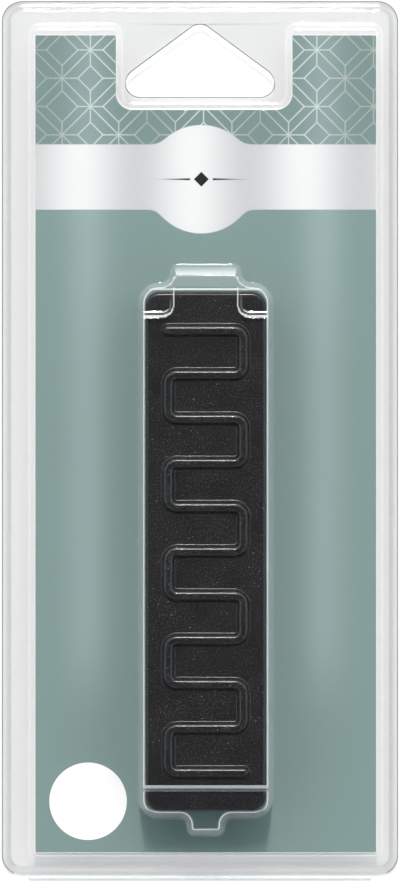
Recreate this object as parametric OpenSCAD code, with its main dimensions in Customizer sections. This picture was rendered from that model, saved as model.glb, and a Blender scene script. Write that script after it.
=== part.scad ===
// Wax filler stick sealed in a clear clamshell hang pack with a printed card.
// The pack lies on its back: +Z comes out of its front, +Y runs towards the hang hole.

/* [Pack outline] */
// Width of the closed pack
pack_w = 90; // [86:0.5:110]
// Length of the closed pack, with its hinge bead
pack_l = 199.6; // [196:0.2:230]
// Corner radius of the outline
pack_corner_r = 4.6; // [3.6:0.1:8]

/* [Clear sheet] */
// Thickness of the formed sheet
sheet_t = 0.45; // [0.3:0.05:0.6]
// Gap between the nested halves
nest_gap = 0.1; // [0.05:0.05:0.2]

/* [Rim] */
// Width of the flat lip round the edge
lip_w = 0.8; // [0.5:0.1:1.2]
// Height of the back border's underside above the table
rim_h = 2.4; // [1.6:0.1:5]
// Width of the sloping rim wall, seen from the front
rim_slope_w = 0.9; // [0.4:0.1:1.2]

/* [Living hinge] */
// Running gap between the hinge bead and the lips
hinge_gap = 0.05; // [0.02:0.01:0.1]
// Straight edge left bare at each end of the bead
hinge_end_gap = 1.4; // [0.5:0.1:10]

/* [Raised card panel] */
// Border to the left of the panel
panel_left = 6; // [4:0.1:9]
// Border to the right of the panel
panel_right = 3.4; // [2.8:0.1:9]
// Border above the panel
panel_top = 5; // [3:0.1:9]
// Border below the panel, with the hinge bead
panel_bottom = 3.5; // [3.2:0.1:9]
// Height of the panel above the border
panel_h = 2.2; // [1.6:0.1:4]
// Width of the sloping panel wall, seen from the front
panel_slope_w = 1.4; // [0.6:0.1:1.8]
// Corner radius at the foot of the panel wall
panel_corner_r = 2.6; // [2.6:0.1:5]

/* [Hang hole and its notch] */
// Width of the rounded triangle
hang_w = 33.8; // [28:0.1:35]
// Height of the rounded triangle
hang_h = 16.5; // [12:0.1:17]
// Radius of the three corners
hang_corner_r = 3.2; // [2:0.1:4]
// Sheet left above the hole
hang_top = 5.35; // [4.5:0.05:6]
// Width of the notch in the panel, at its foot
notch_w = 37.5; // [37:0.1:42]
// Depth of the notch from the panel's top edge, at its foot
notch_l = 18.1; // [18:0.1:24]
// Radius of the notch's corners, at its foot
notch_corner_r = 2; // [1.5:0.1:4]

/* [Printed card] */
// Thickness of the board
card_t = 0.45; // [0.3:0.05:0.7]
// Gap between the card's edge and the panel wall
card_gap = 0.1; // [0.05:0.05:0.4]
// Further gap at the card's top and bottom edge
card_end_gap = 1.2; // [0.6:0.1:2]
// Gap between the card and the panel over it
card_over_gap = 0.25; // [0.2:0.05:0.5]
// Gap between pieces that rest on each other
seat_gap = 0.05; // [0.02:0.01:0.1]

/* [Round label] */
// Diameter of the label
label_d = 17.6; // [10:0.1:22]
// Thickness of the label
label_t = 0.1; // [0.05:0.05:0.15]
// Place of its centre between the card's left edge and the bubble
label_place_share = 0.515; // [0.45:0.005:0.55]
// Distance of its centre from the card's bottom edge
label_bottom = 11.7; // [11.2:0.1:60]

/* [Wax stick] */
// Width of the stick at its back
stick_w = 28.2; // [24:0.1:36]
// Length of the stick at its back
stick_l = 118.2; // [110:0.1:125]
// Thickness of the stick without its rib
stick_t = 15.2; // [10:0.1:20]
// Width of the stick's sloping sides, seen from the front
stick_slope_w = 0.6; // [0.3:0.1:1]
// Corner radius at its back
stick_corner_r = 3; // [2.4:0.1:5]
// Size of the broken edge round its face
stick_edge = 0.5; // [0.2:0.1:1]
// Distance of the stick's middle below the panel's middle
stick_drop = 24.35; // [22:0.05:26]

/* [Raised rib on the stick] */
// Radius of the half-round rib
rib_r = 1.25; // [0.8:0.05:1.6]
// Radius of the rib's bends, on its middle line
rib_bend_r = 1.9; // [1.7:0.1:2.5]
// Width over the rib's zigzag
rib_zone_w = 19.5; // [14:0.1:23]
// Number of cross runs
rib_runs = 11; // [5:1:15]
// Gap between the rib and the steps of the bubble
rib_gap = 1; // [0.6:0.1:4]

/* [Bubble over the stick] */
// Gap beside the stick, at its back
stick_side_gap = 0.75; // [0.75:0.05:2]
// Gap at each end of the stick, at its back
stick_end_gap = 1.35; // [1.2:0.05:2]
// Gap over the stick's face and over its rib
stick_over_gap = 0.3; // [0.2:0.05:0.8]
// Width of the bubble's sloping walls, seen from the front
bubble_slope_w = 1.2; // [0.6:0.1:1.2]
// Corner radius of the bubble at its foot
bubble_corner_r = 4; // [3:0.1:7]
// Length of the low shelves at the bubble's ends
shelf_l = 8.2; // [6:0.1:12]
// Corner radius of the top shelves
shelf_corner_r = 2.2; // [1:0.1:4]
// Width of the sloping steps between shelf and top
step_slope_w = 1.2; // [0.6:0.1:1.6]
// Width of the top tab at its foot
tab_w = 16.2; // [10:0.1:20]
// Reach of the top tab past the bubble
tab_l = 4.1; // [2.5:0.1:7]
// Width of the bottom tab at its foot
foot_w = 8.7; // [6:0.1:14]
// Reach of the bottom tab past the bubble
foot_l = 3.8; // [2.5:0.1:5]
// Corner radius of both tabs at their foot
tab_corner_r = 2.2; // [1.8:0.1:3]
// Ledge beside the top tab where it meets the bubble
tab_ledge = 0.3; // [0.2:0.1:1]

/* [Hidden] */
$fn = 64;

// Overrun of every cut
overrun = 0.5;
// Grid that leaning walls are rounded to, so that flat and round stretches share their corners
grid = 0.001;

// Heights above the table, from the lips up to the top of the bubble
front_lip_z = sheet_t + nest_gap;
rim_foot_z = front_lip_z + sheet_t;
back_border_z = rim_h + sheet_t;
front_border_under_z = back_border_z + nest_gap;
front_border_z = front_border_under_z + sheet_t;
panel_z = front_border_z + panel_h;
panel_under_z = panel_z - sheet_t;
card_face_z = panel_under_z - card_over_gap;
card_z = card_face_z - card_t;
plug_z = card_z - seat_gap;
stick_z = card_face_z + seat_gap;
stick_face_z = stick_z + stick_t;
shelf_under_z = stick_face_z + stick_over_gap;
shelf_z = shelf_under_z + sheet_t;
top_under_z = stick_face_z + rib_r + stick_over_gap;
top_z = top_under_z + sheet_t;
step_h = top_z - shelf_z;

// Hinge bead, as thick as both lips together
bead_r = (front_lip_z + sheet_t) / 2;
bead_y = bead_r - pack_l / 2;
bead_l = pack_w - 2 * (pack_corner_r + hinge_end_gap);

// Outlines as [left, bottom, right, top]
shell_box = [-pack_w / 2, bead_y + bead_r + hinge_gap, pack_w / 2, pack_l / 2];
panel_box = [
    panel_left - pack_w / 2, panel_bottom - pack_l / 2,
    pack_w / 2 - panel_right, pack_l / 2 - panel_top
];
mid_x = (panel_box[0] + panel_box[2]) / 2;
notch_box = [
    mid_x - notch_w / 2, panel_box[3] - notch_l,
    mid_x + notch_w / 2, pack_l / 2 + pack_corner_r
];
stick_y = (panel_box[1] + panel_box[3]) / 2 - stick_drop;
stick_box = centred(stick_y, stick_w, stick_l);
bubble_w = stick_w + 2 * (stick_side_gap + sheet_t);
bubble_l = stick_l + 2 * (stick_end_gap + sheet_t);
bubble_box = centred(stick_y, bubble_w, bubble_l);
tab_box = [mid_x - tab_w / 2, stick_y, mid_x + tab_w / 2, bubble_box[3] + tab_l];
foot_box = [mid_x - foot_w / 2, bubble_box[1] - foot_l, mid_x + foot_w / 2, stick_y];

// Low shelves cut from the bubble's top: two beside the top tab and one across the bottom
channel_w = tab_w + 2 * tab_ledge;
past_top = tab_box[3] + shelf_corner_r;
past_side = bubble_w / 2 + shelf_corner_r + step_slope_w;
top_shelf_y = bubble_box[3] - shelf_l + step_slope_w;
bottom_shelf_y = bubble_box[1] + shelf_l - step_slope_w;
shelf_boxes = [
    [mid_x - past_side, top_shelf_y, mid_x - channel_w / 2, past_top],
    [mid_x + channel_w / 2, top_shelf_y, mid_x + past_side, past_top],
    [mid_x - past_side, foot_box[1] - shelf_corner_r, mid_x + past_side, bottom_shelf_y]
];

// Card, and the label between its left edge and the bubble
card_inset = panel_inset(card_face_z) + sheet_t + card_gap;
card_box = [
    panel_box[0] + card_inset, panel_box[1] + card_inset + card_end_gap,
    panel_box[2] - card_inset, panel_box[3] - card_inset - card_end_gap
];
label_x = card_box[0] + label_place_share * (bubble_box[0] - card_box[0]);

// Rib: a zigzag of cross runs joined at alternate ends, clear of the bubble's steps
rib_reach = rib_zone_w / 2 - rib_r;
rib_top_y = bubble_box[3] - shelf_l - sheet_t - rib_gap - rib_r;
rib_bottom_y = bubble_box[1] + shelf_l + sheet_t + rib_gap + rib_r;
rib_pitch = (rib_top_y - rib_bottom_y) / (rib_runs - 1);

// How far a leaning wall has come in at a height
function rim_inset(z) = lip_w + snapped(rim_slope_w * (z - rim_foot_z) / (front_border_z - rim_foot_z));
function panel_inset(z) = snapped(panel_slope_w * (z - front_border_z) / panel_h);
function bubble_inset(z) = snapped(bubble_slope_w * (z - panel_z) / (top_z - panel_z));

function snapped(length) = round(length / grid) * grid;

// Outline of a block on the panel's middle line
function centred(y, w, l) = [mid_x - w / 2, y - l / 2, mid_x + w / 2, y + l / 2];

// Block with round corners and leaning walls: its outline comes in by low at z_low and by high at z_high
module leaning_block(box, r, z_low, z_high, low, high) {
    translate([0, box[3] - r, 0])
        rotate([90, 0, 0])
            linear_extrude(box[3] - box[1] - 2 * r)
                polygon([
                    [box[0] + low, z_low], [box[2] - low, z_low],
                    [box[2] - high, z_high], [box[0] + high, z_high]
                ]);
    translate([box[0] + r, 0, 0])
        rotate([90, 0, 90])
            linear_extrude(box[2] - box[0] - 2 * r)
                polygon([
                    [box[1] + low, z_low], [box[3] - low, z_low],
                    [box[3] - high, z_high], [box[1] + high, z_high]
                ]);
    // The cones are turned by half a facet, so that no facet's corner falls on a flat wall's edge
    for (x = [box[0] + r, box[2] - r], y = [box[1] + r, box[3] - r])
        translate([x, y, 0])
            rotate_extrude(start = 180 / $fn)
                polygon([[0, z_low], [r - low, z_low], [r - high, z_high], [0, z_high]]);
}

// Lip, rim wall and border of a half, solid below, with its wall drawn in by inset
module rim_form(z_low, z_high, inset) {
    leaning_block(
        shell_box, pack_corner_r, z_low, z_high, rim_inset(z_low) + inset, rim_inset(z_high) + inset
    );
}

// Flat lip of a half
module lip(z) {
    leaning_block(shell_box, pack_corner_r, z, z + sheet_t, 0, 0);
}

// Raised panel with its notch, drawn in by inset
module panel_form(z_low, z_high, inset) {
    notch_low = z_low - overrun;
    notch_high = z_high + overrun;
    difference() {
        leaning_block(
            panel_box, panel_corner_r, z_low, z_high,
            panel_inset(z_low) + inset, panel_inset(z_high) + inset
        );
        leaning_block(
            notch_box, notch_corner_r, notch_low, notch_high,
            -panel_inset(notch_low) - inset, -panel_inset(notch_high) - inset
        );
    }
}

// Bubble with its tabs and shelves, drawn in by inset
module bubble_form(z_low, z_shelf, z_top, inset) {
    cut_z = z_top + overrun;
    cut_out = snapped(step_slope_w * (cut_z - z_shelf) / step_h);
    low = bubble_inset(z_low) + inset;
    difference() {
        union() {
            leaning_block(bubble_box, bubble_corner_r, z_low, z_top, low, bubble_inset(z_top) + inset);
            leaning_block(tab_box, tab_corner_r, z_low, z_top, low, bubble_inset(z_top) + inset);
            leaning_block(foot_box, tab_corner_r, z_low, z_shelf, low, bubble_inset(z_shelf) + inset);
        }
        for (box = shelf_boxes)
            leaning_block(box, shelf_corner_r, z_shelf, cut_z, -inset, -cut_out - inset);
    }
}

// Rounded triangle through both halves, point up
module hang_hole() {
    half = hang_w / 2 - hang_corner_r;
    rise = hang_h - 2 * hang_corner_r;
    side = norm([rise, half]);
    out_x = hang_corner_r * rise / side;
    out_y = hang_corner_r * half / side;
    translate([0, pack_l / 2 - hang_top - hang_h + hang_corner_r, -overrun])
        linear_extrude(front_border_z + 2 * overrun) {
            polygon([
                [-half, -hang_corner_r], [half, -hang_corner_r],
                [half + out_x, out_y], [out_x, rise + out_y],
                [-out_x, rise + out_y], [-half - out_x, out_y]
            ]);
            for (centre = [[-half, 0], [half, 0], [0, rise]])
                translate(centre)
                    circle(r = hang_corner_r);
        }
}

module front_shell() {
    color([0.92, 0.94, 0.95, 0.35])
        difference() {
            union() {
                lip(front_lip_z);
                rim_form(rim_foot_z, front_border_z, 0);
                panel_form(front_border_z, panel_z, 0);
                bubble_form(panel_z, shelf_z, top_z, 0);
            }
            rim_form(front_lip_z - overrun, front_border_under_z, sheet_t);
            panel_form(front_border_under_z - overrun, panel_under_z, sheet_t);
            bubble_form(panel_under_z - overrun, shelf_under_z, top_under_z, sheet_t);
            hang_hole();
        }
}

module back_shell() {
    outside = sheet_t + nest_gap;
    inside = outside + sheet_t;
    color([0.92, 0.94, 0.95, 0.35])
        difference() {
            union() {
                lip(0);
                rim_form(sheet_t, back_border_z, outside);
                panel_form(back_border_z, plug_z, outside);
            }
            rim_form(-overrun, rim_h, inside);
            panel_form(rim_h - overrun, plug_z - sheet_t, inside);
            hang_hole();
        }
}

module living_hinge() {
    color([0.88, 0.9, 0.91, 0.5])
        translate([-bead_l / 2, bead_y, bead_r])
            rotate([0, 90, 0])
                cylinder(h = bead_l, r = bead_r);
}

module card() {
    color([0.51, 0.59, 0.58])
        difference() {
            translate([card_box[0], card_box[1], card_z])
                cube([card_box[2] - card_box[0], card_box[3] - card_box[1], card_t]);
            leaning_block(
                notch_box, notch_corner_r, card_z - overrun, card_face_z + overrun,
                -card_inset, -card_inset
            );
        }
}

module shade_label() {
    color("white")
        translate([label_x, card_box[1] + label_bottom, card_face_z])
            cylinder(h = label_t, d = label_d);
}

// Straight stretch of rib between two points, along x or y
module rib_run(from, to) {
    run = to - from;
    translate(from)
        rotate([0, 90, atan2(run[1], run[0])])
            cylinder(h = norm(run), r = rib_r);
}

// Quarter bend that starts at turn degrees about its middle
module rib_bend(middle, turn) {
    translate(middle)
        rotate([0, 0, turn])
            rotate_extrude(angle = 90)
                translate([rib_bend_r, 0])
                    circle(r = rib_r);
}

module rib() {
    straight = rib_reach - rib_bend_r;
    for (i = [0:rib_runs - 1]) {
        y = rib_top_y - i * rib_pitch;
        // The first and the last run have one free end each
        start_x = i == 0 ? -rib_reach : -straight;
        last_left = i == rib_runs - 1 && i % 2 == 1;
        last_right = i == rib_runs - 1 && i % 2 == 0;
        left_x = last_left ? -rib_reach : start_x;
        right_x = last_right ? rib_reach : straight;
        rib_run([left_x, y], [right_x, y]);
        if (i < rib_runs - 1) {
            side = i % 2 == 0 ? 1 : -1;
            rib_run(
                [side * rib_reach, y - rib_pitch + rib_bend_r],
                [side * rib_reach, y - rib_bend_r]
            );
            rib_bend([side * straight, y - rib_bend_r], side > 0 ? 0 : 90);
            rib_bend([side * straight, y - rib_pitch + rib_bend_r], side > 0 ? 270 : 180);
        }
    }
    last_side = rib_runs % 2 == 0 ? -1 : 1;
    for (end = [[-rib_reach, rib_top_y], [last_side * rib_reach, rib_bottom_y]])
        translate(end)
            sphere(r = rib_r);
}

module wax_stick() {
    edge_z = stick_face_z - stick_edge;
    color([0.19, 0.19, 0.2])
        union() {
            leaning_block(stick_box, stick_corner_r, stick_z, edge_z, 0, stick_slope_w);
            leaning_block(
                stick_box, stick_corner_r, edge_z, stick_face_z, stick_slope_w, stick_slope_w + stick_edge
            );
            translate([mid_x, 0, stick_face_z])
                rib();
        }
}

front_shell();
back_shell();
living_hinge();
card();
shade_label();
wax_stick();
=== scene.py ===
import math

import bmesh
import bpy
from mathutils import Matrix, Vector


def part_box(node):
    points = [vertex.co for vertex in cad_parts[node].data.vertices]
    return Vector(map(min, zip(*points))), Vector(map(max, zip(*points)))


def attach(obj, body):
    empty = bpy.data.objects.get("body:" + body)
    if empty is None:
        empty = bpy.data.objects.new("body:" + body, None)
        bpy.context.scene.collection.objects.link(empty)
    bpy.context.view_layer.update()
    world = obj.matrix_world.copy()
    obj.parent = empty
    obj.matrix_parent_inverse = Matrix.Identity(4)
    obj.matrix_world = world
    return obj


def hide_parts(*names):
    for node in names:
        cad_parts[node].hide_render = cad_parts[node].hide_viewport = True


# The frame: every piece below is made where its CAD node is, in metres
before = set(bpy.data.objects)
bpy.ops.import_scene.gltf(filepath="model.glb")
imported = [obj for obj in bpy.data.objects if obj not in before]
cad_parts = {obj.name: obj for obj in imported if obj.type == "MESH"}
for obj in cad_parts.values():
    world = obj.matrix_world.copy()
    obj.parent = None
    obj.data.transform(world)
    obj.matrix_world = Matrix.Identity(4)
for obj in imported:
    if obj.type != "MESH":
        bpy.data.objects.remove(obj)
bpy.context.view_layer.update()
mm = 0.001
print("frame loaded:", ", ".join(sorted(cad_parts)))


# Tools for finishes

def toLinear(code):
    # an sRGB hex colour as the linear colour that a socket takes
    shares = [int(code[i:i + 2], 16) / 255 for i in (0, 2, 4)]
    return [v / 12.92 if v <= 0.04045 else ((v + 0.055) / 1.055) ** 2.4 for v in shares] + [1]


def addNode(tree, kind, inputs=None, **settings):
    # a node with its settings, its socket values and its links; gives its first live output
    node = tree.nodes.new("ShaderNode" + kind)
    for name, value in settings.items():
        setattr(node, name, value)
    for key, value in (inputs or {}).items():
        named = [socket for socket in node.inputs if socket.enabled and socket.name == key]
        socket = named[0] if named else node.inputs[key]
        if isinstance(value, bpy.types.NodeSocket):
            tree.links.new(value, socket)
        else:
            socket.default_value = value
    return next((socket for socket in node.outputs if socket.enabled), None)


def newFinish(name):
    material = bpy.data.materials.new(name)
    material.use_nodes = True
    material.node_tree.nodes.clear()
    return material, material.node_tree


# Clear sheet finishes

clear = {
    "tint": "FEFEFE", "ior": 1.57, "roughness": 0.03, "bendRoughness": 0.14,
    "milk": "F3F8F8", "steepHaze": 0.45, "steepPower": 8.0, "through": 0.35,
    "bendHazeAndHighlight": 0.65, "tabHazeAndReflection": 0.14, "bubbleFade": (8, 19), "foldAndHighlightFade": (-1, 0),
    "waveSize": 14, "waveHeight": 0.006,
    "cutDark": "505356", "cutLight": "B8BBBD", "nickSize": 9, "cutGloss": 0.1, "cutRoughness": 0.2,
}


def clearSheet(name, whiteness, roughness, fade):
    # thermoformed PET: see-through flats, mirror lines and hazy steep walls; where it is drawn most it
    # turns whitish, partly forming whitening and partly painted highlights and painted reflection; that
    # sets in with height, between the two heights in mm
    material, tree = newFinish(name)
    place = addNode(tree, "TexCoord").node.outputs["Object"]
    wave = addNode(tree, "TexNoise", {
        "Vector": place, "Scale": 1 / (clear["waveSize"] * mm), "Detail": 1.0})
    bump = addNode(tree, "Bump", {"Height": wave, "Distance": clear["waveHeight"] * mm, "Strength": 1.0})
    # mirror share by Schlick's rule, the same on both sides of the sheet
    edgeOn = addNode(tree, "LayerWeight", {"Blend": 0.5, "Normal": bump}).node.outputs["Facing"]
    grazing = addNode(tree, "Math", {0: edgeOn, 1: 5.0}, operation="POWER")
    least = ((clear["ior"] - 1) / (clear["ior"] + 1)) ** 2
    mirror = addNode(tree, "Math", {0: grazing, 1: 1 - least, 2: least}, operation="MULTIPLY_ADD")
    seen = addNode(tree, "BsdfTransparent", {"Color": toLinear(clear["tint"])})
    gloss = addNode(tree, "BsdfGlossy", {"Roughness": roughness, "Normal": bump})
    sheen = addNode(tree, "MixShader", {0: mirror, 1: seen, 2: gloss})
    steep = addNode(tree, "Math", {0: edgeOn, 1: clear["steepPower"]}, operation="POWER")
    height = addNode(tree, "SeparateXYZ", {0: place}).node.outputs["Z"]
    # whiteness: a whitish diffuse share, partly forming whitening, partly painted highlights and painted
    # reflection
    white = addNode(tree, "MapRange", {0: height, 1: fade[0] * mm, 2: fade[1] * mm, 3: 0.0, 4: whiteness})
    share = addNode(tree, "Math", {0: steep, 1: clear["steepHaze"], 2: white}, operation="MULTIPLY_ADD")
    milk = addNode(tree, "BsdfDiffuse", {"Color": toLinear(clear["milk"])})
    through = addNode(tree, "BsdfTranslucent", {"Color": toLinear(clear["milk"])})
    haze = addNode(tree, "MixShader", {0: clear["through"], 1: milk, 2: through})
    whole = addNode(tree, "MixShader", {0: share, 1: sheen, 2: haze})
    addNode(tree, "OutputMaterial", {"Surface": whole})
    return material


def cutEdge():
    # the sheet's die-cut edge: light is lost in it, so it draws a fine grey line
    material, tree = newFinish("petCutEdge")
    place = addNode(tree, "TexCoord").node.outputs["Object"]
    nick = addNode(tree, "TexNoise", {"Vector": place, "Scale": 1 / (clear["nickSize"] * mm)})
    tone = addNode(tree, "Mix", {
        "Factor": nick, "A": toLinear(clear["cutDark"]), "B": toLinear(clear["cutLight"])},
        data_type="RGBA")
    seen = addNode(tree, "BsdfTransparent", {"Color": tone})
    gloss = addNode(tree, "BsdfGlossy", {"Roughness": clear["cutRoughness"]})
    both = addNode(tree, "MixShader", {0: clear["cutGloss"], 1: seen, 2: gloss})
    addNode(tree, "OutputMaterial", {"Surface": both})
    return material


pet = clearSheet("thermoformedPet", 0, clear["roughness"], clear["bubbleFade"])
# the bends' whitened finish also paints the highlight lines along the bends
petBendAndHighlight = clearSheet("petBendAndHighlight", clear["bendHazeAndHighlight"], clear["bendRoughness"], clear["bubbleFade"])
# the tab's faint haze also paints a brighter reflection on the tab's top and the foot's slope
petTab = clearSheet("petTab", clear["tabHazeAndReflection"], clear["roughness"], clear["bubbleFade"])
# the fold's whitened finish also paints the highlight along the panel's edge next to the fold
petFoldAndHighlight = clearSheet("petFoldAndHighlight", clear["bendHazeAndHighlight"], clear["bendRoughness"], clear["foldAndHighlightFade"])
# outer sides first, then the inner side of each, which stays clear, then the die-cut edge
sheetFinishes = [pet, petBendAndHighlight, petTab, petFoldAndHighlight, pet, pet, pet, pet, cutEdge()]
bendAndHighlightSlot, tabSlot, foldAndHighlightSlot, innerSlot, cutSlot = 1, 2, 3, 4, 8


# Card finishes; all places and sizes are in mm on the card

artwork = {
    "teal": "7D9390", "sheenTeal": "91A5A3",
    "sheenPlace": 26.6, "sheenWidth": 5.0, "sheenMiddle": 1.15, "sheenFrom": -68.0, "sheenFull": -41.0,
    "starPitch": 12.85, "starX": 0.82, "starY": 75.8, "wideDiamond": 3.57, "slimDiamond": 2.86,
    "latticeShade": 0.9, "line": 0.28, "lineSoft": 0.3,
    "lineDark": "9FA7A4", "lineLight": "C8D0CE", "linePitch": 23.9, "linePeak": 0.7,
    "bandLow": 52.4, "bandHigh": 67.2,
    "badgeX": 0.3, "badgeY": 59.3, "badgeRound": 12.3, "badgeFillet": 2.4,
    "silverDark": "C4C4C5", "silverLight": "E4E4E4", "silverPitch": 25.45, "silverPeak": -1.8,
    "ruleHalf": 0.32, "ruleReach": 9.5, "ruleStart": 2.6, "lozenge": 1.7, "ink": "1B1B1D",
    "bandSoft": 0.1, "ruleSoft": 0.08,
    "fibre": 0.6, "fibreHeight": 0.01, "fibreStrength": 0.3, "roughness": 0.45, "specular": 0.3,
}
bareBoard = {
    "shade": "E9E7E1", "light": "F6F5F1",
    "fibre": 0.5, "fibreHeight": 0.02, "fibreStrength": 0.5, "roughness": 0.8,
}
stickerPaper = {"shade": "F8F8F8", "light": "FFFFFF", "fibre": 0.4, "roughness": 0.5}


def printedBoard():
    # coated board, offset printed: satin grey-green, a silver band with a round badge, a fine star lattice
    material, tree = newFinish("coatedBoardPrint")
    a = artwork
    place = addNode(tree, "TexCoord").node.outputs["Object"]
    inMm = addNode(tree, "VectorMath", {0: place, 1: (1 / mm,) * 3}, operation="MULTIPLY")
    split = addNode(tree, "SeparateXYZ", {0: inMm}).node.outputs
    x, y = split["X"], split["Y"]

    # two soft lighter columns in the ground colour, a painted sheen, which fade out below
    fromMiddle = addNode(tree, "Math", {0: x, 1: a["sheenMiddle"]}, operation="SUBTRACT")
    apart = addNode(tree, "Math", {0: fromMiddle}, operation="ABSOLUTE")
    off = addNode(tree, "Math", {0: apart, 1: a["sheenPlace"]}, operation="SUBTRACT")
    offShare = addNode(tree, "Math", {0: off, 1: a["sheenWidth"]}, operation="DIVIDE")
    squared = addNode(tree, "Math", {0: offShare, 1: offShare}, operation="MULTIPLY")
    negative = addNode(tree, "Math", {0: squared, 1: -1.0}, operation="MULTIPLY")
    column = addNode(tree, "Math", {0: negative}, operation="EXPONENT")
    fade = addNode(tree, "MapRange", {
        0: y, 1: a["sheenFrom"], 2: a["sheenFull"]}, interpolation_type="SMOOTHSTEP")
    sheenShare = addNode(tree, "Math", {0: column, 1: fade}, operation="MULTIPLY")
    ground = addNode(tree, "Mix", {
        "Factor": sheenShare, "A": toLinear(a["teal"]), "B": toLinear(a["sheenTeal"])}, data_type="RGBA")

    # star lattice on a grid turned by 45 degrees: cell edges, inner diamonds and rays
    starX = addNode(tree, "Math", {0: x, 1: a["starX"]}, operation="SUBTRACT")
    starY = addNode(tree, "Math", {0: y, 1: a["starY"]}, operation="SUBTRACT")
    rising = addNode(tree, "Math", {0: starX, 1: starY}, operation="ADD")
    falling = addNode(tree, "Math", {0: starX, 1: starY}, operation="SUBTRACT")
    cells, offs = [], []
    for along in (rising, falling):
        cell = addNode(tree, "Math", {0: along, 1: a["starPitch"]}, operation="DIVIDE")
        whole = addNode(tree, "Math", {0: cell}, operation="FLOOR")
        part = addNode(tree, "Math", {0: cell, 1: whole}, operation="SUBTRACT")
        centred = addNode(tree, "Math", {0: part, 1: 0.5}, operation="SUBTRACT")
        cells.append(whole)
        offs.append(addNode(tree, "Math", {0: centred}, operation="ABSOLUTE"))
    count = addNode(tree, "Math", {0: cells[0], 1: cells[1]}, operation="ADD")
    odd = addNode(tree, "Math", {0: count, 1: 2.0}, operation="FLOORED_MODULO")
    wide, slim = a["wideDiamond"] / a["starPitch"], a["slimDiamond"] / a["starPitch"]
    half = addNode(tree, "Math", {0: odd, 1: slim - wide, 2: wide}, operation="MULTIPLY_ADD")
    most = addNode(tree, "Math", {0: offs[0], 1: offs[1]}, operation="MAXIMUM")
    toEdge = addNode(tree, "Math", {0: 0.5, 1: most}, operation="SUBTRACT")
    inDiamond = addNode(tree, "Math", {0: half, 1: most}, operation="SUBTRACT")
    toDiamond = addNode(tree, "Math", {0: inDiamond}, operation="ABSOLUTE")
    skew = addNode(tree, "Math", {0: offs[0], 1: offs[1]}, operation="SUBTRACT")
    skewSize = addNode(tree, "Math", {0: skew}, operation="ABSOLUTE")
    toRay = addNode(tree, "Math", {0: skewSize, 1: math.sqrt(0.5)}, operation="MULTIPLY")
    rayOnly = addNode(tree, "Math", {0: toRay, 1: inDiamond}, operation="MAXIMUM")
    nearer = addNode(tree, "Math", {0: toEdge, 1: toDiamond}, operation="MINIMUM")
    nearest = addNode(tree, "Math", {0: nearer, 1: rayOnly}, operation="MINIMUM")
    inkEdge = a["line"] / 2 * math.sqrt(2) / a["starPitch"]
    lineStart, lineEnd = inkEdge * (1 - a["lineSoft"]), inkEdge * (1 + a["lineSoft"])
    lines = addNode(tree, "MapRange", {0: nearest, 1: lineStart, 2: lineEnd, 3: 1.0, 4: 0.0})
    above = addNode(tree, "Math", {0: y, 1: a["bandHigh"]}, operation="GREATER_THAN")
    inked = addNode(tree, "Math", {0: lines, 1: above}, operation="MULTIPLY")
    perMm = 2 * math.pi / a["linePitch"]
    lineTurn = addNode(tree, "Math", {0: x, 1: perMm, 2: -perMm * a["linePeak"]}, operation="MULTIPLY_ADD")
    lineWave = addNode(tree, "Math", {0: lineTurn}, operation="COSINE")
    lineShare = addNode(tree, "Math", {0: lineWave, 1: 0.5, 2: 0.5}, operation="MULTIPLY_ADD")
    lineInk = addNode(tree, "Mix", {
        "Factor": lineShare, "A": toLinear(a["lineDark"]), "B": toLinear(a["lineLight"])}, data_type="RGBA")
    shade = addNode(tree, "MapRange", {0: above, 1: 0.0, 2: 1.0, 3: 1.0, 4: a["latticeShade"]})
    shaded = addNode(tree, "VectorMath", {0: ground, 1: shade}, operation="MULTIPLY")
    withLines = addNode(tree, "Mix", {"Factor": inked, "A": shaded, "B": lineInk}, data_type="RGBA")

    # silver band with a round badge, blended into one outline
    bandMiddle, bandHalf = (a["bandLow"] + a["bandHigh"]) / 2, (a["bandHigh"] - a["bandLow"]) / 2
    fromBand = addNode(tree, "Math", {0: y, 1: bandMiddle}, operation="SUBTRACT")
    bandAway = addNode(tree, "Math", {0: fromBand}, operation="ABSOLUTE")
    bandOut = addNode(tree, "Math", {0: bandAway, 1: bandHalf}, operation="SUBTRACT")
    badgeSide = addNode(tree, "Math", {0: x, 1: a["badgeX"]}, operation="SUBTRACT")
    badgeUp = addNode(tree, "Math", {0: y, 1: a["badgeY"]}, operation="SUBTRACT")
    fromBadge = addNode(tree, "CombineXYZ", {"X": badgeSide, "Y": badgeUp})
    badgeAway = addNode(tree, "VectorMath", {0: fromBadge}, operation="LENGTH").node.outputs["Value"]
    badgeOut = addNode(tree, "Math", {0: badgeAway, 1: a["badgeRound"]}, operation="SUBTRACT")
    outline = addNode(tree, "Math", {0: bandOut, 1: badgeOut, 2: a["badgeFillet"]}, operation="SMOOTH_MIN")
    onSilver = addNode(tree, "MapRange", {0: outline, 1: -a["bandSoft"], 2: a["bandSoft"], 3: 1.0, 4: 0.0})
    perMm = 2 * math.pi / a["silverPitch"]
    turn = addNode(tree, "Math", {0: x, 1: perMm, 2: -perMm * a["silverPeak"]}, operation="MULTIPLY_ADD")
    shine = addNode(tree, "Math", {0: turn}, operation="COSINE")
    shineShare = addNode(tree, "Math", {0: shine, 1: 0.5, 2: 0.5}, operation="MULTIPLY_ADD")
    silver = addNode(tree, "Mix", {
        "Factor": shineShare, "A": toLinear(a["silverDark"]), "B": toLinear(a["silverLight"])},
        data_type="RGBA")
    withBand = addNode(tree, "Mix", {"Factor": onSilver, "A": withLines, "B": silver}, data_type="RGBA")

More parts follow.
